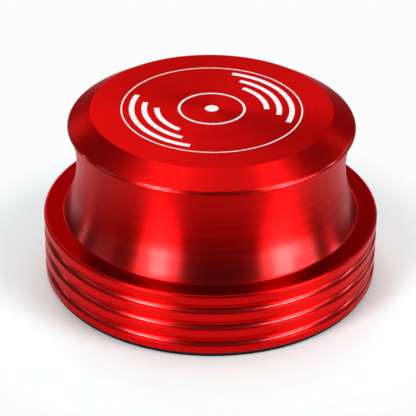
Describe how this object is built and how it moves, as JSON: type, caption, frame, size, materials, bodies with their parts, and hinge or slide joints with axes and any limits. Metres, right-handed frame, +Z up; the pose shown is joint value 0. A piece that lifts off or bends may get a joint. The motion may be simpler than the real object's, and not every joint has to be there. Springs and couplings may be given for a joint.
{
  "type": "record weight",
  "caption": "Turned red aluminium record weight with a grooved base flange, waisted neck and chamfered top, a blind spindle hole and a rubber pad below.",
  "frame": {"origin": "on the axis of rotation, at the underside of the rubber pad", "axes": "+Z up along the axis of rotation, from the pad to the top face"},
  "size_m": [0.076, 0.076, 0.0407],
  "materials": {
    "red_anodised_aluminium": "turned and red anodised, satin",
    "black_rubber": "matt"
  },
  "bodies": {
    "root": {"weight_body": "red_anodised_aluminium", "base_pad": "black_rubber"}
  },
  "joints": []
}
